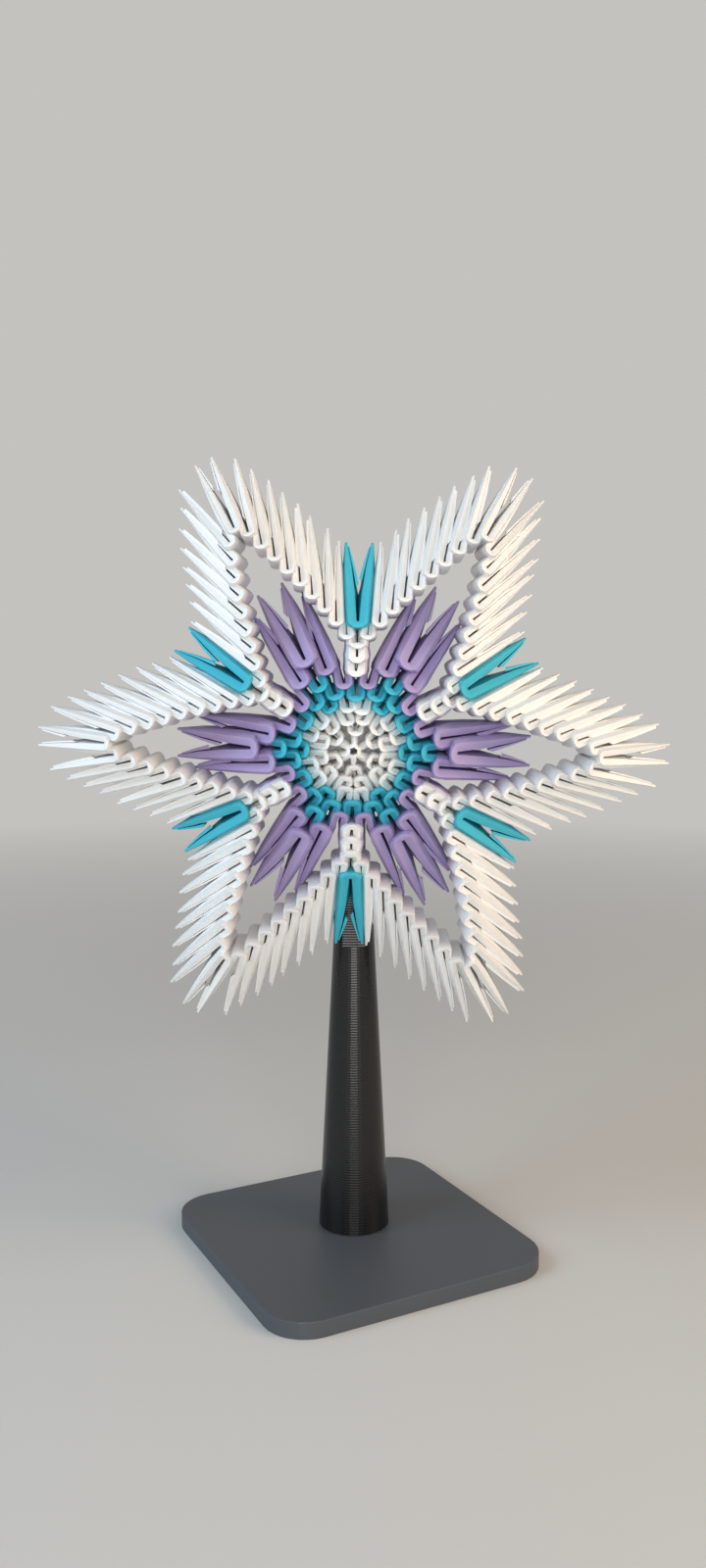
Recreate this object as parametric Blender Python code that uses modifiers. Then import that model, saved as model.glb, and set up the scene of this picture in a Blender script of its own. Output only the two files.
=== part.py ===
"""Star of interlocked folded paper units on a printed pole and base plate.

Metres, +Z up. The star faces -Y, and the underside of the plate rests on z = 0.
Units that hold each other by their legs and share a colour are one solid.
"""

import math

import bmesh
import bpy
from mathutils import Matrix, Vector

# Base plate
PLATE_SIDE = 0.090
PLATE_THICKNESS = 0.005
PLATE_CORNER_RADIUS = 0.013
PLATE_EDGE_BEVEL = 0.0008
PLATE_TURN = math.radians(27.5)
PLATE_CORNER_STEPS = 8

# Pole and the flat tongue that carries the star from behind
POLE_FOOT_RADIUS = 0.0111
POLE_TOP_RADIUS = 0.0062
POLE_HEIGHT = 0.0965
POLE_RIM_RADIUS = 0.0008
POLE_SET_BACK = 0.005
POLE_STEPS = 48
RIM_STEPS = 2
TONGUE_WIDTH = 0.007
TONGUE_THICKNESS = 0.003
TONGUE_END_BELOW_CENTRE = 0.013

# Every neighbouring pair of solids keeps this distance
CLEARANCE = 0.0003
CUT_OVERRUN = 0.002
MERGE_DISTANCE = 0.000002
SLIVER_WIDTH = 0.00001
FLAT_ANGLE = math.radians(0.5)

# One folded unit: a quarter of a sheet of sixteenth size makes this short side
UNIT_SIDE = 0.02625
LEG_TIP_DEPTH = 0.002
LEG_TIP_WIDTH = 0.0011
LEG_LENGTH = 0.0262
FRONT_WIDTH_SHARE = 0.66
FOLD_STEPS = 4
NOTCH_SHARE = 0.36

# The star
STAR_CENTRE_HEIGHT = 0.1575
STAR_TURN = math.radians(-1.7)
ARM_COUNT = 6

# Hidden legs are packed into a disc behind the core and a ring around it, which ends
# just inside the outermost blue folds
PACKED_FRONT_DEPTH = 0.0070
PACKED_STEPS = 36
SHALLOW_OVERLAP = 0.0020
RING_SET_IN = 0.0010

# White core: each row of folds sits one step outside the row before it
HEART_RADIUS = 0.0010
HEART_WIDTH = 0.0026
SECOND_ROW_STEP = 0.0032
SECOND_ROW_WIDTH = 0.0042
THIRD_ROW_STEP = 0.0032
THIRD_ROW_WIDTH = 0.0038
WHITE_EDGE_STEP = 0.0032
WHITE_EDGE_WIDTH = 0.0039
WHITE_EDGE_LENGTH = 0.0033
CORE_LEG_LENGTH = 0.0055

# Blue ring: its outer row is stepped from the pairs
BLUE_INNER_STEP = 0.0020
BLUE_INNER_WIDTH = 0.0040
BLUE_LINK_STEP = 0.0014
BLUE_PAIR_STEP = 0.0012
BLUE_WIDTH = 0.0060
BLUE_OUTER_STEP = 0.0038
BLUE_OUTER_WIDTH = 0.0056
BLUE_LEG_LENGTH = 0.0065

# Purple petals: roots from the blue pairs, then the pair from the outer blue row, and
# the top unit from the pair; a tuck is how much of a leg its neighbours hide
PETAL_ROOT_STEP = 0.0026
PETAL_ROOT_WIDTH = 0.0058
PETAL_ROOT_LENGTH = 0.0100
PETAL_PAIR_STEP = 0.0038
PETAL_PAIR_WIDTH = 0.0064
PETAL_PAIR_TUCK = 0.0022
PETAL_PAIR_TIP_OFFSET = 0.0014
PETAL_PAIR_LEAN = math.radians(4)
PETAL_TOP_STEP = 0.0044
PETAL_TOP_WIDTH = 0.0070
PETAL_TOP_TUCK = 0.0017
PETAL_TOP_TIP_OFFSET = 0.0042

# White columns between the petals, from the outer blue row
COLUMN_STEP = 0.0019
COLUMN_PITCH = 0.00405
COLUMN_UNITS = 3
COLUMN_WIDTH = 0.0062
COLUMN_LEG_LENGTH = 0.0065

# Blue accents, one step past the place of a column's next unit
ACCENT_STEP = 0.00165
ACCENT_WIDTH = 0.0062
ACCENT_TIP_OFFSET = 0.0041

# Arm chains: first and last unit of a chain, in the arm's own frame
CHAIN_UNITS = 9
CHAIN_START_ALONG = 0.02867
CHAIN_START_ACROSS = 0.01315
CHAIN_END_ALONG = 0.0664
CHAIN_END_ACROSS = 0.0026
CHAIN_BOW = 0.0008
CHAIN_START_LEAN = math.radians(30)
CHAIN_END_LEAN = math.radians(14)
CHAIN_UNIT_WIDTH = 0.0046
CHAIN_TIP_OFFSET = 0.0011

# The unit that closes an arm, one step past the ends of its two chains
ARM_TIP_STEP = 0.0027
ARM_TIP_WIDTH = 0.0046
ARM_TIP_OFFSET = 0.0026

# Angles of the rows, counted from an arm's axis
ARM_ANGLE = 2 * math.pi / ARM_COUNT
COLUMN_ANGLE = ARM_ANGLE / 2
THIRD_ROW_ANGLE = ARM_ANGLE / 4
PAIR_ANGLE = ARM_ANGLE / 6
OUTER_PAIR_ANGLE = ARM_ANGLE / 3

PLATE_TOP = PLATE_THICKNESS
POLE_BOTTOM = PLATE_TOP + CLEARANCE
POLE_TOP = POLE_BOTTOM + POLE_HEIGHT
SECOND_ROW_RADIUS = HEART_RADIUS + SECOND_ROW_STEP
THIRD_ROW_RADIUS = SECOND_ROW_RADIUS + THIRD_ROW_STEP
WHITE_EDGE_RADIUS = THIRD_ROW_RADIUS + WHITE_EDGE_STEP
RING_INNER_RADIUS = WHITE_EDGE_RADIUS + WHITE_EDGE_LENGTH + CLEARANCE
BLUE_INNER_RADIUS = WHITE_EDGE_RADIUS + BLUE_INNER_STEP
BLUE_LINK_RADIUS = BLUE_INNER_RADIUS + BLUE_LINK_STEP
BLUE_PAIR_RADIUS = BLUE_LINK_RADIUS + BLUE_PAIR_STEP
BLUE_OUTER_RADIUS = BLUE_PAIR_RADIUS + BLUE_OUTER_STEP
RING_OUTER_RADIUS = BLUE_OUTER_RADIUS - RING_SET_IN
PETAL_ROOT_RADIUS = BLUE_PAIR_RADIUS + PETAL_ROOT_STEP
PETAL_PAIR_RADIUS = BLUE_OUTER_RADIUS + PETAL_PAIR_STEP
PETAL_TOP_RADIUS = PETAL_PAIR_RADIUS + PETAL_TOP_STEP
PETAL_PAIR_LENGTH = LEG_LENGTH - PETAL_PAIR_TUCK
PETAL_TOP_LENGTH = LEG_LENGTH - PETAL_TOP_TUCK
COLUMN_RADIUS = BLUE_OUTER_RADIUS + COLUMN_STEP
ACCENT_RADIUS = COLUMN_RADIUS + COLUMN_PITCH * COLUMN_UNITS + ACCENT_STEP
ARM_TIP_RADIUS = CHAIN_END_ALONG + ARM_TIP_STEP
ACCENT_TIP_HEIGHT = STAR_CENTRE_HEIGHT - ACCENT_RADIUS - LEG_LENGTH
POLE_RADIUS_AT_TIP = POLE_TOP_RADIUS + (POLE_FOOT_RADIUS - POLE_TOP_RADIUS) * (
    (POLE_TOP - ACCENT_TIP_HEIGHT) / POLE_HEIGHT
)
STAR_BACK = POLE_SET_BACK - POLE_RADIUS_AT_TIP - CLEARANCE
STAR_FRONT = STAR_BACK - UNIT_SIDE
STAR_PLACE = Matrix.Translation((0, STAR_FRONT, STAR_CENTRE_HEIGHT)) @ Matrix.Rotation(
    -STAR_TURN, 4, "Y"
)
SHALLOW_DEPTH = PACKED_FRONT_DEPTH + SHALLOW_OVERLAP
FRONT_SLOPE = (UNIT_SIDE - LEG_TIP_DEPTH) / LEG_LENGTH

# Colours: base colour, roughness
COLOURS = {
    "white_paper": ((0.82, 0.80, 0.76, 1.0), 0.6),
    "blue_paper": ((0.06, 0.34, 0.40, 1.0), 0.6),
    "purple_paper": ((0.17, 0.10, 0.30, 1.0), 0.6),
    "black_plastic": ((0.008, 0.008, 0.009, 1.0), 0.28),
    "grey_plastic": ((0.075, 0.078, 0.085, 1.0), 0.5),
}


def clear_scene():
    for item in list(bpy.data.objects):
        bpy.data.objects.remove(item, do_unlink=True)


def make_collection(name):
    collection = bpy.data.collections.new(name)
    bpy.context.scene.collection.children.link(collection)
    return collection


def make_materials():
    materials = {}
    for name, (colour, roughness) in COLOURS.items():
        material = bpy.data.materials.new(name)
        material.use_nodes = True
        shader = material.node_tree.nodes["Principled BSDF"]
        shader.inputs["Base Color"].default_value = colour
        shader.inputs["Roughness"].default_value = roughness
        shader.inputs["Metallic"].default_value = 0.0
        material.diffuse_color = colour
        materials[name] = material
    return materials


def add_object(name, mesh, collection, material=None):
    item = bpy.data.objects.new(name, mesh)
    collection.objects.link(item)
    if material is not None:
        mesh.materials.clear()
        mesh.materials.append(material)
    return item


def mesh_of(item):
    graph = bpy.context.evaluated_depsgraph_get()
    return bpy.data.meshes.new_from_object(item.evaluated_get(graph))


def tidy_mesh(mesh):
    shape = bmesh.new()
    shape.from_mesh(mesh)
    bmesh.ops.remove_doubles(shape, verts=shape.verts, dist=MERGE_DISTANCE)
    bmesh.ops.recalc_face_normals(shape, faces=shape.faces)
    shape.to_mesh(mesh)
    shape.free()


def prism_mesh(outline, depth):
    curve = bpy.data.curves.new("outline", "CURVE")
    curve.dimensions = "2D"
    curve.fill_mode = "BOTH"
    curve.extrude = depth / 2
    spline = curve.splines.new("POLY")
    spline.points.add(len(outline) - 1)
    for point, (along, across) in zip(spline.points, outline):
        point.co = (along, across, 0, 1)
    spline.use_cyclic_u = True
    item = bpy.data.objects.new("outline", curve)
    bpy.context.scene.collection.objects.link(item)
    mesh = mesh_of(item)
    bpy.data.objects.remove(item, do_unlink=True)
    tidy_mesh(mesh)
    return mesh


def combine(item, tools, operation, solver):
    """One Boolean with every tool at once, so that no step rounds another's result."""
    group = make_collection("tools")
    for tool in tools:
        group.objects.link(tool)
    modifier = item.modifiers.new(operation.lower(), "BOOLEAN")
    modifier.solver = solver
    modifier.operation = operation
    modifier.operand_type = "COLLECTION"
    modifier.collection = group
    mesh = mesh_of(item)
    item.modifiers.clear()
    item.data = mesh
    bpy.data.collections.remove(group)


def remove_objects(items):
    for item in items:
        bpy.data.objects.remove(item, do_unlink=True)


def keep_largest_piece(mesh):
    """Drop the slivers that a cut leaves between two of its cutters."""
    shape = bmesh.new()
    shape.from_mesh(mesh)
    unseen = set(shape.verts)
    pieces = []
    while unseen:
        piece = [unseen.pop()]
        for vert in piece:
            for edge in vert.link_edges:
                other = edge.other_vert(vert)
                if other in unseen:
                    unseen.remove(other)
                    piece.append(other)
        pieces.append(piece)
    pieces.sort(key=len)
    for piece in pieces[:-1]:
        bmesh.ops.delete(shape, geom=piece, context="VERTS")
    shape.to_mesh(mesh)
    shape.free()


def join_flat_faces(mesh):
    """Join the triangles of each flat face, unless that would open the solid."""
    shape = bmesh.new()
    shape.from_mesh(mesh)
    bmesh.ops.remove_doubles(shape, verts=shape.verts, dist=SLIVER_WIDTH)
    bmesh.ops.dissolve_degenerate(shape, edges=shape.edges, dist=SLIVER_WIDTH)
    bmesh.ops.dissolve_limit(
        shape, angle_limit=FLAT_ANGLE, verts=shape.verts, edges=shape.edges
    )
    bmesh.ops.triangulate(shape, faces=shape.faces, ngon_method="EAR_CLIP")
    bmesh.ops.recalc_face_normals(shape, faces=shape.faces)
    if all(len(edge.link_faces) == 2 for edge in shape.edges):
        shape.to_mesh(mesh)
    shape.free()


class Unit:
    """A folded unit: where its fold sits in the star's plane, and how its legs run."""

    def __init__(self, place, heading, width, length, tips=(), depth=UNIT_SIDE):
        self.place = Vector(place)
        self.heading = heading
        self.width = width
        self.length = length
        self.tips = tips
        self.depth = depth

    def turned(self, angle):
        place = self.place.copy()
        place.rotate(Matrix.Rotation(angle, 2))
        heading = self.heading + angle
        return Unit(place, heading, self.width, self.length, self.tips, self.depth)

    def mirrored(self):
        place = (self.place.x, -self.place.y)
        tips = tuple(-tip for tip in self.tips)
        return Unit(place, -self.heading, self.width, self.length, tips, self.depth)

    def outline(self, grow=0.0):
        """Round fold first, then each free tip, or a square end for hidden legs."""
        radius = self.width / 2 + grow
        points = []
        for step in range(FOLD_STEPS + 1):
            angle = math.pi * step / FOLD_STEPS - math.pi / 2
            points.append((radius - radius * math.cos(angle) - grow, radius * math.sin(angle)))
        end = self.length + grow
        half_tip = LEG_TIP_WIDTH / 2 + grow
        if not self.tips:
            points.append((end, radius))
            points.append((end, -radius))
        tips = sorted(self.tips, reverse=True)
        for number, tip in enumerate(tips):
            if number:
                middle = (tips[number - 1] + tip) / 2
                points.append((self.length * NOTCH_SHARE + grow, middle))
            points.append((end, tip + half_tip))
            points.append((end, tip - half_tip))
        return points

    def to_star(self, along, across, depth):
        """From the unit's own directions to the star's: right, back and up."""
        point = Vector((along, across))
        point.rotate(Matrix.Rotation(self.heading, 2))
        point += self.place
        return Vector((point.x, depth, point.y))

    def solid(self, name, collection, material=None):
        """The fold reaches the star's front, and the legs slope back from it."""
        mesh = prism_mesh(self.outline(), self.depth)
        for vert in mesh.vertices:
            along, across, depth = vert.co
            if depth < 0:
                vert.co = self.to_star(along, across * FRONT_WIDTH_SHARE, along * FRONT_SLOPE)
            else:
                vert.co = self.to_star(along, across, self.depth)
        tidy_mesh(mesh)
        return add_object(name, mesh, collection, material)

    def cutter(self, name, collection):
        """The unit's back outline grown by the clearance, right through the star."""
        mesh = prism_mesh(self.outline(CLEARANCE), UNIT_SIDE + 2 * CUT_OVERRUN)
        for vert in mesh.vertices:
            along, across, depth = vert.co
            vert.co = self.to_star(along, across, depth + UNIT_SIDE / 2)
        tidy_mesh(mesh)
        item = add_object(name, mesh, collection)
        item.hide_render = True
        item.display_type = "WIRE"
        return item


def radial_unit(radius, angle, width, length, tips=()):
    return Unit((radius, 0.0), 0.0, width, length, tips).turned(angle)


def shallow_unit(radius, angle, width, length):
    """A unit whose hidden legs end in the packed legs behind it."""
    return Unit((radius, 0.0), 0.0, width, length, (), SHALLOW_DEPTH).turned(angle)


def all_round(units):
    return [unit.turned(ARM_ANGLE * arm) for arm in range(ARM_COUNT) for unit in units]


def pair(unit):
    return [unit, unit.mirrored()]


def core_units():
    length = CORE_LEG_LENGTH
    return all_round(
        [
            shallow_unit(HEART_RADIUS, 0.0, HEART_WIDTH, length),
            shallow_unit(SECOND_ROW_RADIUS, COLUMN_ANGLE, SECOND_ROW_WIDTH, length),
        ]
        + pair(shallow_unit(THIRD_ROW_RADIUS, THIRD_ROW_ANGLE, THIRD_ROW_WIDTH, length))
        + pair(
            shallow_unit(
                WHITE_EDGE_RADIUS, OUTER_PAIR_ANGLE, WHITE_EDGE_WIDTH, WHITE_EDGE_LENGTH
            )
        )
    )


def blue_inner_units():
    length = BLUE_LEG_LENGTH
    return all_round(
        [
            shallow_unit(BLUE_INNER_RADIUS, 0.0, BLUE_INNER_WIDTH, length),
            shallow_unit(BLUE_LINK_RADIUS, COLUMN_ANGLE, BLUE_WIDTH, length),
        ]
        + pair(shallow_unit(BLUE_PAIR_RADIUS, PAIR_ANGLE, BLUE_WIDTH, length))
    )


def blue_outer_units():
    return all_round(
        [shallow_unit(BLUE_OUTER_RADIUS, 0.0, BLUE_OUTER_WIDTH, BLUE_LEG_LENGTH)]
    )


def petal_units():
    place = radial_unit(PETAL_PAIR_RADIUS, PAIR_ANGLE, PETAL_PAIR_WIDTH, PETAL_PAIR_LENGTH).place
    leaning = Unit(
        place, PETAL_PAIR_LEAN, PETAL_PAIR_WIDTH, PETAL_PAIR_LENGTH, (PETAL_PAIR_TIP_OFFSET,)
    )
    top_tips = (PETAL_TOP_TIP_OFFSET, -PETAL_TOP_TIP_OFFSET)
    units = pair(
        radial_unit(PETAL_ROOT_RADIUS, OUTER_PAIR_ANGLE, PETAL_ROOT_WIDTH, PETAL_ROOT_LENGTH)
    )
    units += pair(leaning)
    units.append(radial_unit(PETAL_TOP_RADIUS, 0.0, PETAL_TOP_WIDTH, PETAL_TOP_LENGTH, top_tips))
    return units


def column_units():
    radii = [COLUMN_RADIUS + COLUMN_PITCH * row for row in range(COLUMN_UNITS)]
    return [
        radial_unit(radius, COLUMN_ANGLE, COLUMN_WIDTH, COLUMN_LEG_LENGTH) for radius in radii
    ]


def accent_unit():
    tips = (ACCENT_TIP_OFFSET, -ACCENT_TIP_OFFSET)
    return radial_unit(ACCENT_RADIUS, COLUMN_ANGLE, ACCENT_WIDTH, LEG_LENGTH, tips)


def chain_units():
    """The upper chain of the arm that points along +X, from the column outwards."""
    units = []
    for number in range(CHAIN_UNITS):
        share = number / (CHAIN_UNITS - 1)
        along = CHAIN_START_ALONG + (CHAIN_END_ALONG - CHAIN_START_ALONG) * share
        across = CHAIN_START_ACROSS + (CHAIN_END_ACROSS - CHAIN_START_ACROSS) * share
        across += 4 * CHAIN_BOW * share * (1 - share)
        lean = CHAIN_START_LEAN + (CHAIN_END_LEAN - CHAIN_START_LEAN) * share
        units.append(
            Unit((along, across), lean, CHAIN_UNIT_WIDTH, LEG_LENGTH, (CHAIN_TIP_OFFSET,))
        )
    return units


def arm_tip_unit():
    tips = (ARM_TIP_OFFSET, -ARM_TIP_OFFSET)
    return radial_unit(ARM_TIP_RADIUS, 0.0, ARM_TIP_WIDTH, LEG_LENGTH, tips)


def fused_mesh(name, units, seated_units, cutters, start=None):
    """Join the units into one body, and keep the clearance to the units that seat on it.

    EXACT leaves open edges where several folds meet, so these use MANIFOLD.
    """
    collection = bpy.context.scene.collection
    solids = [unit.solid("legs", collection) for unit in units]
    body = start or solids.pop(0)
    if solids:
        combine(body, solids, "UNION", "MANIFOLD")
    if seated_units:
        tools = [unit.cutter(f"{name}_cutter", cutters) for unit in seated_units]
        combine(body, tools, "DIFFERENCE", "MANIFOLD")
        for tool in tools:
            tool.data.transform(STAR_PLACE)
    mesh = body.data
    remove_objects(solids + [body])
    keep_largest_piece(mesh)
    join_flat_faces(mesh)
    return mesh


def mirrored_mesh(mesh):
    """The same body on the other side of its arm's axis."""
    copy = mesh.copy()
    copy.transform(Matrix.Diagonal((1, 1, -1, 1)))
    copy.flip_normals()
    return copy


def make_base_plate(collection, material):
    straight = PLATE_SIDE / 2 - PLATE_CORNER_RADIUS
    outline = []
    for quarter in range(4):
        start = quarter * math.pi / 2
        centre = Vector((straight, straight))
        centre.rotate(Matrix.Rotation(start, 2))
        for step in range(PLATE_CORNER_STEPS + 1):
            angle = start + math.pi / 2 * step / PLATE_CORNER_STEPS
            outline.append(
                (
                    centre.x + PLATE_CORNER_RADIUS * math.cos(angle),
                    centre.y + PLATE_CORNER_RADIUS * math.sin(angle),
                )
            )
    mesh = prism_mesh(outline, PLATE_THICKNESS)
    plate = add_object("base_plate", mesh, collection, material)
    plate.location = (0, 0, PLATE_THICKNESS / 2)
    plate.rotation_euler = (0, 0, PLATE_TURN)
    bevel = plate.modifiers.new("edges", "BEVEL")
    bevel.width = PLATE_EDGE_BEVEL
    bevel.segments = 2
    bevel.limit_method = "ANGLE"
    return plate


def turned_mesh(profile, steps, closed=False):
    """Turn a profile of (radius, height) points about the Z axis."""
    shape = bmesh.new()
    verts = [shape.verts.new((radius, 0, height)) for radius, height in profile]
    for first, second in zip(verts, verts[1:]):
        shape.edges.new((first, second))
    if closed:
        shape.edges.new((verts[-1], verts[0]))
    mesh = bpy.data.meshes.new("profile")
    shape.to_mesh(mesh)
    shape.free()
    item = bpy.data.objects.new("profile", mesh)
    bpy.context.scene.collection.objects.link(item)
    screw = item.modifiers.new("turn", "SCREW")
    screw.steps = steps
    screw.render_steps = steps
    screw.use_merge_vertices = True
    screw.merge_threshold = MERGE_DISTANCE
    turned = mesh_of(item)
    bpy.data.objects.remove(item, do_unlink=True)
    tidy_mesh(turned)
    return turned


def make_pole(collection, material):
    """A tapered turned pole, with the flat tongue grown out of its top."""
    profile = [(0, POLE_TOP)]
    for step in range(RIM_STEPS + 1):
        angle = math.pi / 2 * step / RIM_STEPS
        profile.append(
            (
                POLE_TOP_RADIUS - POLE_RIM_RADIUS * (1 - math.sin(angle)),
                POLE_TOP - POLE_RIM_RADIUS * (1 - math.cos(angle)),
            )
        )
    profile.append((POLE_FOOT_RADIUS, POLE_BOTTOM))
    profile.append((0, POLE_BOTTOM))
    mesh = turned_mesh(profile, POLE_STEPS)
    mesh.transform(Matrix.Translation((0, POLE_SET_BACK, 0)))
    pole = add_object("pole", mesh, collection, material)

    bottom = POLE_TOP - POLE_TOP_RADIUS
    top = STAR_CENTRE_HEIGHT - TONGUE_END_BELOW_CENTRE
    middle = Vector((0, STAR_BACK + CLEARANCE + TONGUE_THICKNESS / 2, (top + bottom) / 2))
    size = Vector((TONGUE_WIDTH, TONGUE_THICKNESS, top - bottom))
    shape = bmesh.new()
    bmesh.ops.create_cube(shape, size=1, matrix=Matrix.LocRotScale(middle, None, size))
    tongue_mesh = bpy.data.meshes.new("tongue")
    shape.to_mesh(tongue_mesh)
    shape.free()
    tongue = add_object("tongue", tongue_mesh, collection, material)
    combine(pole, [tongue], "UNION", "EXACT")
    remove_objects([tongue])
    join_flat_faces(pole.data)
    return pole


def packed_legs(inner, outer):
    """The packed legs behind the folds, as a disc or a ring about the star's centre."""
    front = -PACKED_FRONT_DEPTH
    back = -UNIT_SIDE
    if inner:
        profile = [(inner, front), (outer, front), (outer, back), (inner, back)]
        mesh = turned_mesh(profile, PACKED_STEPS, closed=True)
    else:
        profile = [(0, front), (outer, front), (outer, back), (0, back)]
        mesh = turned_mesh(profile, PACKED_STEPS)
    mesh.transform(Matrix.Rotation(math.pi / 2, 4, "X"))
    return add_object("packed_legs", mesh, bpy.context.scene.collection)


def make_star(parts, cutters, materials):
    white = materials["white_paper"]
    blue = materials["blue_paper"]
    purple = materials["purple_paper"]
    inner_blue = blue_inner_units()
    petal = petal_units()
    column = column_units()
    accent = accent_unit()
    chain = chain_units()
    arm_tip = arm_tip_unit()
    next_chain_start = chain[0].mirrored().turned(ARM_ANGLE)

    disc = packed_legs(0, RING_INNER_RADIUS - CLEARANCE)
    core_mesh = fused_mesh("core", core_units(), inner_blue, cutters, disc)
    core_mesh.transform(STAR_PLACE)
    add_object("white_core", core_mesh, parts, white)

    ring = packed_legs(RING_INNER_RADIUS, RING_OUTER_RADIUS)
    seated = all_round(petal[:-1] + column[:1])
    ring_mesh = fused_mesh("ring", inner_blue + blue_outer_units(), seated, cutters, ring)
    ring_mesh.transform(STAR_PLACE)
    add_object("blue_ring", ring_mesh, parts, blue)

    posts = [column[0], column[0].turned(-ARM_ANGLE)]
    chain_mesh = fused_mesh("chain", chain, [accent, arm_tip], cutters)
    shapes = {
        "purple_petal_{}": (fused_mesh("petal", petal, posts, cutters), purple),
        "white_column_{}": (
            fused_mesh("column", column, [chain[0], next_chain_start, accent], cutters),
            white,
        ),
        "blue_accent_{}": (fused_mesh("accent", [accent], [], cutters), blue),
        "arm_{}_upper_chain": (chain_mesh, white),
        "arm_{}_lower_chain": (mirrored_mesh(chain_mesh), white),
        "arm_{}_tip": (fused_mesh("tip", [arm_tip], [], cutters), white),
    }
    for arm in range(ARM_COUNT):
        place = STAR_PLACE @ Matrix.Rotation(-ARM_ANGLE * arm, 4, "Y")
        for name, (mesh, material) in shapes.items():
            copy = mesh.copy()
            copy.transform(place)
            add_object(name.format(arm + 1), copy, parts, material)


def main():
    clear_scene()
    parts = make_collection("modular_origami_star")
    cutters = make_collection("cutters")
    materials = make_materials()
    make_base_plate(parts, materials["grey_plastic"])
    make_pole(parts, materials["black_plastic"])
    make_star(parts, cutters, materials)


main()
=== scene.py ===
import math
import random

import bmesh
import bpy
from mathutils import Matrix, Vector


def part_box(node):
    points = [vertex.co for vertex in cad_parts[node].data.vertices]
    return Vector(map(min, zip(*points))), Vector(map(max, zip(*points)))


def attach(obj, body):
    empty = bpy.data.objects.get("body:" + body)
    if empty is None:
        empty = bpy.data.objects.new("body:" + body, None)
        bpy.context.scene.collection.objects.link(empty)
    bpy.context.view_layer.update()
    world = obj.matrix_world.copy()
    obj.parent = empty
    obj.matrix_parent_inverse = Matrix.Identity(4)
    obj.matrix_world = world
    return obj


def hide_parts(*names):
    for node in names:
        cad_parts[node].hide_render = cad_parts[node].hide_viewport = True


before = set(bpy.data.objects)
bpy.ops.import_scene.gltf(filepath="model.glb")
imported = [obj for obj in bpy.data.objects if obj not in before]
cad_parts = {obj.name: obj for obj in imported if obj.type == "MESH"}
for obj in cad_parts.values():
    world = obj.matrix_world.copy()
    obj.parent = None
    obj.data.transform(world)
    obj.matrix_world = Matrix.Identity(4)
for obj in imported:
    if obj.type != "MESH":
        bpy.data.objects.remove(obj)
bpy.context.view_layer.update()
print("frame loaded")

mm = 0.001

# the star's middle and its front and back planes come from the CAD core
coreLow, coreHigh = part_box("white_core")
starMiddle = (coreLow + coreHigh) / 2
starFront = coreLow.y
starDepth = coreHigh.y - coreLow.y

star = {
    "arms": 6,
    "turn": math.radians(-1.7),
    "columnUnits": 3,
    "columnPitch": 4.05 * mm,
    "chainUnits": 9,
    "petalPairLean": math.radians(4),
    "seed": 7,
}
armAngle = 2 * math.pi / star["arms"]

# radius and degrees place a unit's fold, counted from the middle line of its arm,
# half is half the width of its crease's U, and flare is how far its flanks splay behind that
unitKinds = {
    "heart": {"radius": 1.0 * mm, "degrees": 0, "half": 1.50 * mm, "flare": 0.9 * mm},
    "second": {"radius": 4.2 * mm, "degrees": 30, "half": 1.95 * mm, "flare": 1.1 * mm},
    "thirdA": {"radius": 7.4 * mm, "degrees": 15, "half": 1.95 * mm, "flare": 1.2 * mm},
    "thirdB": {"radius": 7.4 * mm, "degrees": 45, "half": 1.95 * mm, "flare": 1.2 * mm},
    "edgeA": {"radius": 10.6 * mm, "degrees": 20, "half": 2.00 * mm, "flare": 1.2 * mm},
    "edgeB": {"radius": 10.6 * mm, "degrees": 40, "half": 2.00 * mm, "flare": 1.2 * mm},
    "blueInner": {"radius": 12.6 * mm, "degrees": 0, "half": 2.15 * mm, "flare": 1.1 * mm},
    "blueLink": {"radius": 14.0 * mm, "degrees": 30, "half": 2.35 * mm, "flare": 1.3 * mm},
    "bluePairA": {"radius": 15.2 * mm, "degrees": 10, "half": 2.35 * mm, "flare": 1.3 * mm},
    "bluePairB": {"radius": 15.2 * mm, "degrees": 50, "half": 2.35 * mm, "flare": 1.3 * mm},
    "blueOuter": {"radius": 19.0 * mm, "degrees": 0, "half": 2.35 * mm, "flare": 1.2 * mm},
    "rootA": {"radius": 17.8 * mm, "degrees": 20, "half": 2.25 * mm, "flare": 1.0 * mm},
    "rootB": {"radius": 17.8 * mm, "degrees": 40, "half": 2.25 * mm, "flare": 1.0 * mm},
    "pairA": {"radius": 22.8 * mm, "degrees": 10, "half": 2.50 * mm, "flare": 1.9 * mm},
    "pairB": {"radius": 22.8 * mm, "degrees": 50, "half": 2.50 * mm, "flare": 1.9 * mm},
    "petalTop": {"radius": 27.2 * mm, "degrees": 0, "half": 2.85 * mm, "flare": 2.2 * mm},
    "column": {"radius": 20.9 * mm, "degrees": 30, "half": 2.35 * mm, "flare": 1.7 * mm},
    "accent": {"radius": 34.7 * mm, "degrees": 30, "half": 2.60 * mm, "flare": 1.8 * mm},
    "armTip": {"radius": 69.1 * mm, "degrees": 0, "half": 1.95 * mm, "flare": 1.1 * mm},
    "upper": {"half": 1.90 * mm, "flare": 1.1 * mm},
    "lower": {"half": 1.90 * mm, "flare": 1.1 * mm},
}

# the folds of an arm's upper chain lie on a slightly bowed line, and the lower chain mirrors it
chain = {
    "start": Vector((28.67 * mm, 13.15 * mm)),
    "end": Vector((66.4 * mm, 2.6 * mm)),
    "bow": 0.8 * mm,
    "startLean": math.radians(30),
    "endLean": math.radians(14),
}

# how far to the side of its unit's middle line a free leg ends
freeTips = {
    "petalPair": 2.5 * mm,
    "petalTop": 4.3 * mm,
    "accent": 4.2 * mm,
    "chain": 1.0 * mm,
    "armTip": 2.9 * mm,
}

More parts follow.
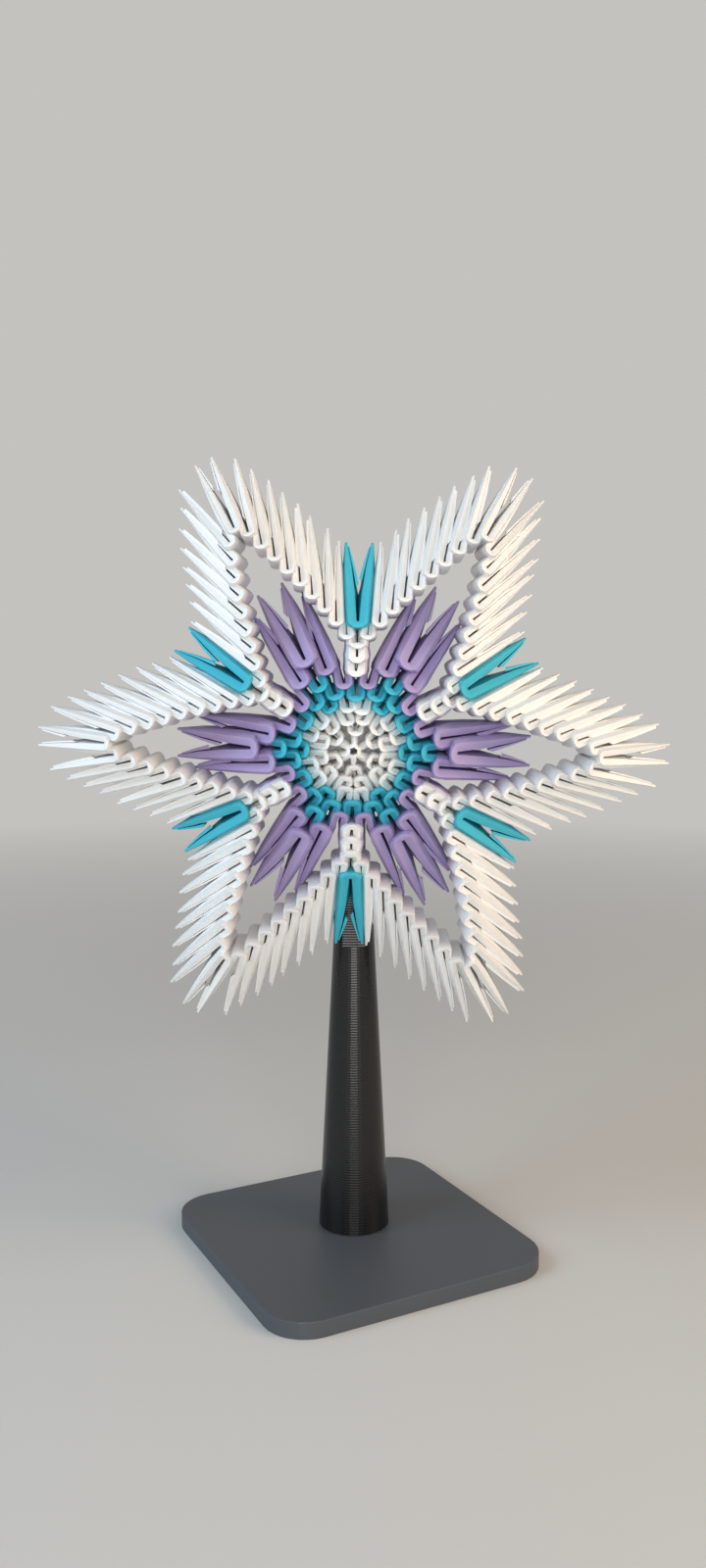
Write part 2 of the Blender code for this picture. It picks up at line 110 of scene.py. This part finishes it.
# hand-made unevenness: the units of the core are pushed about more than the others
uneven = {
    "place": 0.12 * mm,
    "heading": math.radians(1.0),
    "tip": 0.30 * mm,
    "corePlaceTimes": 2,
    "coreHeadingTimes": 5,
    "coreDepth": 0.7 * mm,
}


def mix(low, high, share):
    return low + (high - low) * share


def turned(point, angle):
    copy = Vector(point)
    copy.rotate(Matrix.Rotation(angle, 2))
    return copy


# every unit has a fold, a heading, and for each leg either a free tip or the pocket it fills
units = {}
dice = random.Random(star["seed"])


def addUnit(kind, arm, place, heading, piece, left, right):
    inCore = piece == "white_core"
    spread = uneven["place"] * (uneven["corePlaceTimes"] if inCore else 1)
    swing = uneven["heading"] * (uneven["coreHeadingTimes"] if inCore else 1)
    offset = Vector((dice.uniform(-spread, spread), dice.uniform(-spread, spread)))
    units[kind, arm] = {
        "place": turned(place + offset, armAngle * arm),
        "heading": heading + armAngle * arm + dice.uniform(-1, 1) * swing,
        "piece": piece,
        "left": left,
        "right": right,
        "shade": dice.uniform(0, 1),
        "lift": dice.uniform(0, 1) * uneven["coreDepth"] if inCore else 0,
    }


def rowAngle(kind):
    return math.radians(unitKinds[kind]["degrees"])


def rowPlace(kind, further=0):
    radius = unitKinds[kind]["radius"] + further
    angle = rowAngle(kind)
    return Vector((radius * math.cos(angle), radius * math.sin(angle)))


def addRowUnit(kind, arm, piece, left, right):
    addUnit(kind, arm, rowPlace(kind), rowAngle(kind), piece, left, right)


def layOutCore(arm, before, after):
    core = "white_core"
    addRowUnit("heart", arm, core, ("second", arm, "right"), ("second", before, "left"))
    addRowUnit("second", arm, core, ("thirdB", arm, "right"), ("thirdA", arm, "left"))
    addRowUnit("thirdA", arm, core, ("edgeA", arm, "right"), ("blueInner", arm, "left"))
    addRowUnit("thirdB", arm, core, ("blueInner", after, "right"), ("edgeB", arm, "left"))
    addRowUnit("edgeA", arm, core, ("blueLink", arm, "right"), ("bluePairA", arm, "left"))
    addRowUnit("edgeB", arm, core, ("bluePairB", arm, "right"), ("blueLink", arm, "left"))


def layOutRing(arm, before, after):
    ring = "blue_ring"
    addRowUnit("blueInner", arm, ring, ("bluePairA", arm, "right"), ("bluePairB", before, "left"))
    addRowUnit("blueLink", arm, ring, ("rootB", arm, "right"), ("rootA", arm, "left"))
    addRowUnit("bluePairA", arm, ring, ("rootA", arm, "right"), ("blueOuter", arm, "left"))
    addRowUnit("bluePairB", arm, ring, ("blueOuter", after, "right"), ("rootB", arm, "left"))
    addRowUnit("blueOuter", arm, ring, ("pairA", arm, "right"), ("pairB", before, "left"))


def layOutPetals(arm, after):
    # one half of this arm's petal, one half of the next arm's, and this petal's top
    petal = f"purple_petal_{arm + 1}"
    nextPetal = f"purple_petal_{after + 1}"
    lean = star["petalPairLean"]
    apart = freeTips["petalPair"]
    addRowUnit("rootA", arm, petal, (("column", 0), arm, "right"), ("pairA", arm, "left"))
    addRowUnit("rootB", arm, nextPetal, ("pairB", arm, "right"), (("column", 0), arm, "left"))
    addUnit("pairA", arm, rowPlace("pairA"), lean, petal, apart, ("petalTop", arm, "left"))
    addUnit("pairB", arm, rowPlace("pairB"), armAngle - lean, nextPetal,
            ("petalTop", after, "right"), -apart)
    addRowUnit("petalTop", arm, petal, freeTips["petalTop"], -freeTips["petalTop"])


def layOutColumn(arm, after):
    for number in range(star["columnUnits"]):
        if number < star["columnUnits"] - 1:
            left = (("column", number + 1), arm, "left")
            right = (("column", number + 1), arm, "right")
        else:
            left = (("lower", 0), after, "right")
            right = (("upper", 0), arm, "left")
        place = rowPlace("column", star["columnPitch"] * number)
        addUnit(("column", number), arm, place, rowAngle("column"),
                f"white_column_{arm + 1}", left, right)
    addRowUnit("accent", arm, f"blue_accent_{arm + 1}", freeTips["accent"], -freeTips["accent"])


def layOutChains(arm, before):
    last = star["chainUnits"] - 1
    for number in range(star["chainUnits"]):
        share = number / last
        place = chain["start"].lerp(chain["end"], share)
        place.y += 4 * chain["bow"] * share * (1 - share)  # a parabola, bow high in the middle
        mirror = Vector((place.x, -place.y))
        lean = mix(chain["startLean"], chain["endLean"], share)
        if number == 0:
            upperFree = ("accent", arm, "right")
            lowerFree = ("accent", before, "left")
        else:
            upperFree = freeTips["chain"]
            lowerFree = -freeTips["chain"]
        if number < last:
            upperNext = (("upper", number + 1), arm, "left")
            lowerNext = (("lower", number + 1), arm, "right")
        else:
            upperNext = ("armTip", arm, "left")
            lowerNext = ("armTip", arm, "right")
        addUnit(("upper", number), arm, place, lean, f"arm_{arm + 1}_upper_chain",
                upperFree, upperNext)
        addUnit(("lower", number), arm, mirror, -lean, f"arm_{arm + 1}_lower_chain",
                lowerNext, lowerFree)
    addRowUnit("armTip", arm, f"arm_{arm + 1}_tip", freeTips["armTip"], -freeTips["armTip"])


for arm in range(star["arms"]):
    before = (arm - 1) % star["arms"]
    after = (arm + 1) % star["arms"]
    layOutCore(arm, before, after)
    layOutRing(arm, before, after)
    layOutPetals(arm, after)
    layOutColumn(arm, after)
    layOutChains(arm, before)
print("units laid out:", len(units))

# one folded unit, seen from the front: a crease runs in a U round the fold and down both
# legs, a band slopes from it to the slot between the legs, and a flank drops from it to the back
fold = {
    "slotShare": 0.16,  # the slot's width, as a share of the crease's width
    "roundness": 0.82,  # the bend's length, as a share of half its width
    "bandSlope": 0.72,
    "tipSlope": 0.22,
    "tipBand": 0.45 * mm,
    "tipFlank": 0.22 * mm,
    "baseFlare": 0.25,  # the share of the flare that stands out at the bend
    "flareRange": (0.92, 1.08),
    "squareness": 0.20,  # how boxy the back of the bend is
    "taper": 2.3,  # higher keeps a leg wide for longer
    "closing": 1.5,  # higher keeps the slot closed at the back for longer
    "hiddenShrink": 0.82,  # a leg in a pocket is narrower
    "hiddenDrop": 0.5 * mm,  # and lies deeper
    "hiddenBy": 0.25,  # from this share of its length on
    "legLength": 25.9 * mm,
    "tipDepth": 1.6 * mm,  # the crease ends this far in front of the back plane
    "paper": 0.18 * mm,
    "bendSteps": 6,
    "legSteps": 3,
    "sharpAngle": math.radians(38),
}
legSlope = (starDepth - fold["tipDepth"]) / fold["legLength"]

# across the sheet, from the slot's wall over the crease to the back of the flank:
# shares of the band, of the flare, of the band's drop and of the depth behind the crease
section = (
    (1.19, 0, 1.00, 0.75),
    (1.00, 0, 1.00, 0),
    (0.50, 0, 0.44, 0),
    (0.07, 0, 0.02, 0),
    (0, 0.03, 0, 0),
    (0, 0.50, 0, 0.10),
    (0, 1.00, 0, 0.95),
)


def kindOf(key):
    kind = key[0]
    return unitKinds[kind if isinstance(kind, str) else kind[0]]


def isTucked(unit, side):
    return isinstance(unit[side], tuple)


def legPath(key, side):
    # points of the crease along a leg and on through the pockets, in the star's plane
    unit = units[key]
    sign = 1 if side == "left" else -1
    half = kindOf(key)["half"]
    start = unit["place"] + turned((half * fold["roundness"], sign * half), unit["heading"])
    if isTucked(unit, side):
        kind, arm, pocket = unit[side]
        return [start] + legPath((kind, arm), pocket)
    wobble = random.Random(str(key) + side).uniform(-1, 1) * uneven["tip"]
    tip = (fold["legLength"], unit[side] + wobble)
    return [start, unit["place"] + turned(tip, unit["heading"])]


def walk(path, distance):
    # the point and the direction at a distance along a path
    for first, second in zip(path, path[1:]):
        step = second - first
        if distance <= step.length or second is path[-1]:
            direction = step.normalized()
            return first + direction * distance, direction
        distance -= step.length


def inWorld(point, depth):
    flat = turned(point, star["turn"])
    return Vector((starMiddle.x + flat.x, starFront + depth, starMiddle.z + flat.y))


def gridIndex(value, count):
    # the number of a grid's row or column, whose places run from -1 to 1
    return round((value + 1) / 2 * count)


def outwardTurn(side):
    return math.pi / 2 if side == "left" else -math.pi / 2


def bendPoint(unit, size, row, index):
    band, flank, dip, wall = section[row]
    angle = math.pi * (index / fold["bendSteps"] - 0.5)
    length = size["half"] * fold["roundness"]
    slot = size["half"] * fold["slotShare"]
    reach = mix(length, slot, band) + flank * size["flare"] * fold["baseFlare"]
    side = mix(size["half"], slot, band) + flank * size["flare"]
    power = 1 - flank * fold["squareness"]
    along = max(0, math.cos(angle)) ** power
    across = math.copysign(abs(math.sin(angle)) ** power, angle)
    place = unit["place"] + turned((length - reach * along, side * across), unit["heading"])
    ridge = length * (1 - math.cos(angle)) * legSlope
    drop = ridge + dip * size["half"] * fold["bandSlope"] + wall * (starDepth - ridge)
    return inWorld(place, min(drop + unit["lift"], starDepth))


def legPoint(size, path, side, row, share, hidden, lift, tip):
    band, flank, dip, wall = section[row]
    length = size["half"] * fold["roundness"]
    run = fold["legLength"] - length
    place, direction = walk(path, run * share)
    outward = turned(direction, outwardTurn(side))
    narrow = share ** fold["taper"]
    inner = band * mix(size["half"] * (1 - fold["slotShare"]), fold["tipBand"], narrow)
    outer = flank * mix(size["flare"], fold["tipFlank"], narrow)
    ridge = (length + run * share) * legSlope
    if row == 0 and tip:
        # the walls between two free legs meet at the back for the first third of their length
        closed = min(1, fold["closing"] * (1 - share))
        inner = max(inner, closed * mix(size["half"], tip, share))
    if hidden:
        sunk = min(1, share / fold["hiddenBy"])
        inner *= mix(1, fold["hiddenShrink"], sunk)
        outer *= mix(1, fold["hiddenShrink"], sunk)
        ridge += fold["hiddenDrop"] * sunk
    slope = mix(fold["bandSlope"], fold["tipSlope"], narrow)
    drop = ridge + dip * size["half"] * slope + wall * (starDepth - ridge)
    return inWorld(place + outward * (outer - inner), min(drop + lift, starDepth))


def foldSheet(shape, key, paths):
    unit = units[key]
    size = dict(kindOf(key))
    size["flare"] *= mix(*fold["flareRange"], unit["shade"])
    bothFree = not isTucked(unit, "left") and not isTucked(unit, "right")
    tip = unit["left"] if bothFree else 0
    legs, bends = fold["legSteps"], fold["bendSteps"]
    columns = 2 * legs + bends
    across = len(section) - 1
    made = bmesh.ops.create_grid(shape, x_segments=columns, y_segments=across, size=1)
    for vert in made["verts"]:
        index = gridIndex(vert.co.x, columns)
        row = gridIndex(vert.co.y, across)
        if legs < index < legs + bends:
            vert.co = bendPoint(unit, size, row, index - legs)
            continue
        if index <= legs:
            side, share = "right", 1 - index / legs
        else:
            side, share = "left", (index - legs - bends) / legs
        hidden = isTucked(unit, side)
        vert.co = legPoint(size, paths[side], side, row, share, hidden, unit["lift"], tip)


# the thin inner fold of a free leg, from a start near the fold to close to the tip; its start
# is slanted, and units narrower than fullHalf get a thinner one
strip = {
    "starts": (0.36, 0.58),
    "chainStarts": (0.10, 0.30),
    "end": 0.94,
    "slant": 0.05,
    "gap": 0.55 * mm,
    "tipGap": 0.06 * mm,
    "width": 0.85 * mm,
    "tipWidth": 0.35 * mm,
    "fullHalf": 2.5 * mm,
    "depth": 5.0 * mm,
    "wallShare": 0.8,
    "steps": 2,
}

# across the strip, from the back of one wall over its front to the back of the other:
# 1 on the side away from the leg, and 1 at the back
stripSection = ((0, 1), (0, 0), (1, 0), (1, 1))


def stripSheet(shape, size, path, side, begin):
    length = size["half"] * fold["roundness"]
    run = fold["legLength"] - length
    wide = size["half"] * (1 - fold["slotShare"])
    scale = min(1, (size["half"] / strip["fullHalf"]) ** 2)
    steps, across = strip["steps"], len(stripSection) - 1
    made = bmesh.ops.create_grid(shape, x_segments=steps, y_segments=across, size=1)
    for vert in made["verts"]:
        away, back = stripSection[gridIndex(vert.co.y, across)]
        along = gridIndex(vert.co.x, steps) / steps
        share = mix(begin + away * strip["slant"], strip["end"], along)
        narrow = share ** fold["taper"]
        place, direction = walk(path, run * share)
        edge = mix(wide, fold["tipBand"], narrow)
        gap = mix(strip["gap"] * scale ** 2, strip["tipGap"], along)
        width = mix(strip["width"] * scale, strip["tipWidth"], along)
        offset = -edge - gap - away * width
        ridge = (length + run * share) * legSlope
        front = ridge + size["half"] * mix(fold["bandSlope"], fold["tipSlope"], narrow)
        wall = min(strip["depth"], (starDepth - front) * strip["wallShare"])
        spot = place + turned(direction, outwardTurn(side)) * offset
        vert.co = inWorld(spot, min(front + back * wall, starDepth))


def buildUnit(key):
    unit = units[key]
    paths = {side: legPath(key, side) for side in ("left", "right")}
    shape = bmesh.new()
    foldSheet(shape, key, paths)
    for side in ("left", "right"):
        if not isTucked(unit, side):
            starts = strip["starts" if isinstance(key[0], str) else "chainStarts"]
            begin = random.Random(side + str(key)).uniform(*starts)
            stripSheet(shape, kindOf(key), paths[side], side, begin)
    bmesh.ops.recalc_face_normals(shape, faces=shape.faces)
    bmesh.ops.solidify(shape, geom=shape.faces[:], thickness=fold["paper"])
    tint = shape.verts.layers.float.new("tint")
    for vert in shape.verts:
        vert[tint] = unit["shade"]
    mesh = bpy.data.meshes.new("unit")
    shape.to_mesh(mesh)
    shape.free()
    return mesh


# behind the folds the middle is packed with the legs of the rows before
packed = {
    "white_core": {"inner": 0, "outer": 13.2 * mm, "front": 15.0 * mm},
    "blue_ring": {"inner": 12.6 * mm, "outer": 20.2 * mm, "front": 15.0 * mm},
}

packedShape = {
    "leastRadius": 0.1 * mm,
    "dish": 0.4 * mm,
    "rim": 1.5 * mm,
    "rimDrop": 3.0 * mm,
    "steps": 48,
    "weld": 0.001 * mm,
}


def packedSheet(shape, inner, outer, front):
    radii = (max(inner, packedShape["leastRadius"]), outer - packedShape["rim"], outer)
    depths = (front, front + packedShape["dish"], front + packedShape["rimDrop"])
    rings = len(radii) - 1
    steps = packedShape["steps"]
    made = bmesh.ops.create_grid(shape, x_segments=steps, y_segments=rings, size=1)
    for vert in made["verts"]:
        angle = math.pi * (1 + vert.co.x)
        ring = gridIndex(vert.co.y, rings)
        point = Vector((radii[ring] * math.cos(angle), radii[ring] * math.sin(angle)))
        vert.co = inWorld(point, depths[ring])
    bmesh.ops.remove_doubles(shape, verts=made["verts"], dist=packedShape["weld"])


def newMaterial(name, roughness):
    material = bpy.data.materials.new(name)
    material.use_nodes = True
    nodes = material.node_tree.nodes
    shader = nodes["Principled BSDF"]
    shader.inputs["Roughness"].default_value = roughness
    shader.inputs["Metallic"].default_value = 0
    return material, nodes, material.node_tree.links, shader


def noiseOn(nodes, links, scale, detail, stretch=(1, 1, 1)):
    coords = nodes.new("ShaderNodeTexCoord")
    mapping = nodes.new("ShaderNodeMapping")
    mapping.inputs["Scale"].default_value = stretch
    noise = nodes.new("ShaderNodeTexNoise")
    noise.inputs["Scale"].default_value = scale
    noise.inputs["Detail"].default_value = detail
    links.new(coords.outputs["Object"], mapping.inputs["Vector"])
    links.new(mapping.outputs["Vector"], noise.inputs["Vector"])
    return noise


def addBump(nodes, links, shader, height, strength, distance):
    bump = nodes.new("ShaderNodeBump")
    bump.inputs["Strength"].default_value = strength
    bump.inputs["Distance"].default_value = distance
    links.new(height, bump.inputs["Height"])
    links.new(bump.outputs["Normal"], shader.inputs["Normal"])


def colourBetween(nodes, links, shader, share, dark, light):
    ramp = nodes.new("ShaderNodeValToRGB")
    ramp.color_ramp.elements[0].color = (*dark, 1)
    ramp.color_ramp.elements[1].color = (*light, 1)
    links.new(share, ramp.inputs["Fac"])
    links.new(ramp.outputs["Color"], shader.inputs["Base Color"])


paperColours = {
    "white_paper": {"light": (0.90, 0.90, 0.885), "dark": (0.83, 0.825, 0.81)},
    "blue_paper": {"light": (0.060, 0.52, 0.66), "dark": (0.050, 0.43, 0.54)},
    "purple_paper": {"light": (0.43, 0.35, 0.60), "dark": (0.37, 0.30, 0.53)},
}

# each sheet has its own tint, with a soft cloud over it, and fine fibres in its surface
paperFinish = {
    "roughness": 0.62,
    "specular": 0.35,
    "cloudScale": 90,
    "cloudDetail": 2,
    "cloudShare": 0.45,
    "fibreScale": 1300,
    "fibreDetail": 2,
    "fibreStrength": 0.08,
    "fibreHeight": 0.01 * mm,
}


def paperMaterial(name):
    look = paperFinish
    material, nodes, links, shader = newMaterial(name, look["roughness"])
    shader.inputs["Specular IOR Level"].default_value = look["specular"]
    tint = nodes.new("ShaderNodeAttribute")
    tint.attribute_name = "tint"
    cloud = noiseOn(nodes, links, look["cloudScale"], look["cloudDetail"])
    blend = nodes.new("ShaderNodeMix")
    blend.data_type = "FLOAT"
    blend.inputs[0].default_value = look["cloudShare"]
    links.new(tint.outputs["Fac"], blend.inputs[2])
    links.new(cloud.outputs["Fac"], blend.inputs[3])
    colourBetween(nodes, links, shader, blend.outputs[0], **paperColours[name])
    fibres = noiseOn(nodes, links, look["fibreScale"], look["fibreDetail"])
    addBump(nodes, links, shader, fibres.outputs["Fac"],
            look["fibreStrength"], look["fibreHeight"])
    return material


papers = {name: paperMaterial(name) for name in paperColours}


def slotOf(node):
    if "blue" in node:
        return "blue_paper"
    if "purple" in node:
        return "purple_paper"
    return "white_paper"


def buildPieces():
    names = sorted({unit["piece"] for unit in units.values()})
    for name in names:
        shape = bmesh.new()
        for key, unit in units.items():
            if unit["piece"] == name:
                mesh = buildUnit(key)
                shape.from_mesh(mesh)
                bpy.data.meshes.remove(mesh)
        if name in packed:
            packedSheet(shape, **packed[name])
        mesh = bpy.data.meshes.new(name + "_paper")
        shape.to_mesh(mesh)
        shape.free()
        mesh.polygons.foreach_set("use_smooth", [True] * len(mesh.polygons))
        mesh.set_sharp_from_angle(angle=fold["sharpAngle"])
        piece = bpy.data.objects.new(name + "_paper", mesh)
        bpy.context.scene.collection.objects.link(piece)
        mesh.materials.append(papers[slotOf(name)])
        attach(piece, "root")
        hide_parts(name)
    print("paper pieces built:", len(names))


buildPieces()

# printed stand: the CAD pole and plate keep their shape and get the look of printed plastic
polePrint = {
    "colour": (0.0030, 0.0030, 0.0036),
    "roughness": 0.25,
    "specular": 0.5,
    "layer": 0.8 * mm,
    "bandsPerScale": 0.31416,  # the wave texture repeats every pi / 10 over its scale
    "distortion": 0.5,
    "detail": 1,
    "strength": 0.4,
    "height": 0.06 * mm,
}

platePrint = {
    "light": (0.068, 0.077, 0.090),
    "darkShare": 0.9,
    "roughness": 0.5,
    "specular": 0.45,
    "cloudScale": 60,
    "cloudDetail": 3,
    "grainScale": 1500,
    "grainDetail": 2,
    "grainStretch": (1, 0.2, 1),
    "grainStrength": 0.3,
    "grainHeight": 0.05 * mm,
}


def poleMaterial():
    look = polePrint
    material, nodes, links, shader = newMaterial("black_print", look["roughness"])
    shader.inputs["Base Color"].default_value = (*look["colour"], 1)
    shader.inputs["Specular IOR Level"].default_value = look["specular"]
    coords = nodes.new("ShaderNodeTexCoord")
    layers = nodes.new("ShaderNodeTexWave")
    layers.bands_direction = "Z"
    layers.inputs["Scale"].default_value = look["bandsPerScale"] / look["layer"]
    layers.inputs["Distortion"].default_value = look["distortion"]
    layers.inputs["Detail"].default_value = look["detail"]
    links.new(coords.outputs["Object"], layers.inputs["Vector"])
    addBump(nodes, links, shader, layers.outputs["Fac"], look["strength"], look["height"])
    return material


def plateMaterial():
    look = platePrint
    material, nodes, links, shader = newMaterial("grey_print", look["roughness"])
    shader.inputs["Specular IOR Level"].default_value = look["specular"]
    cloud = noiseOn(nodes, links, look["cloudScale"], look["cloudDetail"])
    dark = tuple(value * look["darkShare"] for value in look["light"])
    colourBetween(nodes, links, shader, cloud.outputs["Fac"], dark, look["light"])
    grain = noiseOn(nodes, links, look["grainScale"], look["grainDetail"], look["grainStretch"])
    addBump(nodes, links, shader, grain.outputs["Fac"],
            look["grainStrength"], look["grainHeight"])
    return material


def dress(node, material):
    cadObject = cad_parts[node]
    for slotItem in cadObject.material_slots:
        slotItem.material = material


dress("pole", poleMaterial())
dress("base_plate", plateMaterial())
print("stand dressed")

view = {
    "lens": 28.0,
    "sensor": 36.0,
    "place": Vector((-0.0003, -0.370, 0.181)),
    "pitch": math.radians(5.45),
    "clipStart": 0.01,
}

backdropColour = (0.55, 0.54, 0.52)

# far from the object the floor fades into the backdrop, so that no horizon shows
ground = {
    "size": 3,
    "colour": (0.66, 0.65, 0.63),
    "roughness": 0.8,
    "fadeStart": 0.25,
    "fadeEnd": 1.1,
}

lamps = {
    "key": {
        "place": (-0.80, -0.40, 0.62),
        "size": 0.6,
        "power": 5.5,
        "colour": (0.62, 0.82, 1.0),
    },
    "fill": {
        "place": (0.80, -0.35, 0.55),
        "size": 0.6,
        "power": 5.3,
        "colour": (1.0, 0.77, 0.54),
    },
    "front": {
        "place": (0.02, -0.95, 0.22),
        "size": 0.5,
        "power": 5.0,
        "colour": (1.0, 0.98, 0.96),
    },
}

ambientLight = {"colour": (0.80, 0.80, 0.80), "strength": 0.30}


def addCamera():
    data = bpy.data.cameras.new("camera")
    data.sensor_fit = "AUTO"
    data.sensor_width = view["sensor"]
    data.lens = view["lens"]
    data.clip_start = view["clipStart"]
    camera = bpy.data.objects.new("camera", data)
    camera.location = view["place"]
    camera.rotation_euler = (math.pi / 2 - view["pitch"], 0, 0)
    bpy.context.scene.collection.objects.link(camera)
    bpy.context.scene.camera = camera


def addFloor():
    shape = bmesh.new()
    bmesh.ops.create_grid(shape, x_segments=1, y_segments=1, size=ground["size"])
    mesh = bpy.data.meshes.new("floor")
    shape.to_mesh(mesh)
    shape.free()
    floor = bpy.data.objects.new("floor", mesh)
    bpy.context.scene.collection.objects.link(floor)
    material, nodes, links, shader = newMaterial("floor", ground["roughness"])
    shader.inputs["Base Color"].default_value = (*ground["colour"], 1)
    coords = nodes.new("ShaderNodeTexCoord")
    distance = nodes.new("ShaderNodeVectorMath")
    distance.operation = "LENGTH"
    fade = nodes.new("ShaderNodeMapRange")
    fade.inputs["From Min"].default_value = ground["fadeStart"]
    fade.inputs["From Max"].default_value = ground["fadeEnd"]
    far = nodes.new("ShaderNodeEmission")
    far.inputs["Color"].default_value = (*backdropColour, 1)
    blend = nodes.new("ShaderNodeMixShader")
    links.new(coords.outputs["Object"], distance.inputs[0])
    links.new(distance.outputs["Value"], fade.inputs["Value"])
    links.new(fade.outputs["Result"], blend.inputs["Fac"])
    links.new(shader.outputs["BSDF"], blend.inputs[1])
    links.new(far.outputs["Emission"], blend.inputs[2])
    links.new(blend.outputs["Shader"], nodes["Material Output"].inputs["Surface"])
    mesh.materials.append(material)


def addLamps():
    for name, lamp in lamps.items():
        data = bpy.data.lights.new(name, "AREA")
        data.size = lamp["size"]
        data.energy = lamp["power"]
        data.color = lamp["colour"]
        item = bpy.data.objects.new(name, data)
        item.location = lamp["place"]
        aim = starMiddle - Vector(lamp["place"])
        item.rotation_euler = aim.to_track_quat("-Z", "Y").to_euler()
        bpy.context.scene.collection.objects.link(item)


def addWorld():
    # the paper is lit by the ambient light, while the camera and gloss see the backdrop
    world = bpy.data.worlds.new("studio")
    bpy.context.scene.world = world
    world.use_nodes = True
    nodes, links = world.node_tree.nodes, world.node_tree.links
    ambient = nodes["Background"]
    ambient.inputs["Color"].default_value = (*ambientLight["colour"], 1)
    ambient.inputs["Strength"].default_value = ambientLight["strength"]
    backdrop = nodes.new("ShaderNodeBackground")
    backdrop.inputs["Color"].default_value = (*backdropColour, 1)
    backdrop.inputs["Strength"].default_value = 1
    rays = nodes.new("ShaderNodeLightPath")
    choice = nodes.new("ShaderNodeMixShader")
    seen = rays.outputs["Is Camera Ray"]
    for kind in ("Is Glossy Ray", "Is Transmission Ray"):
        either = nodes.new("ShaderNodeMath")
        either.operation = "MAXIMUM"
        links.new(seen, either.inputs[0])
        links.new(rays.outputs[kind], either.inputs[1])
        seen = either.outputs["Value"]
    links.new(seen, choice.inputs["Fac"])
    links.new(ambient.outputs["Background"], choice.inputs[1])
    links.new(backdrop.outputs["Background"], choice.inputs[2])
    links.new(choice.outputs["Shader"], nodes["World Output"].inputs["Surface"])


addCamera()
addFloor()
addLamps()
addWorld()
bpy.context.scene.view_settings.view_transform = "Standard"
print("stage set")
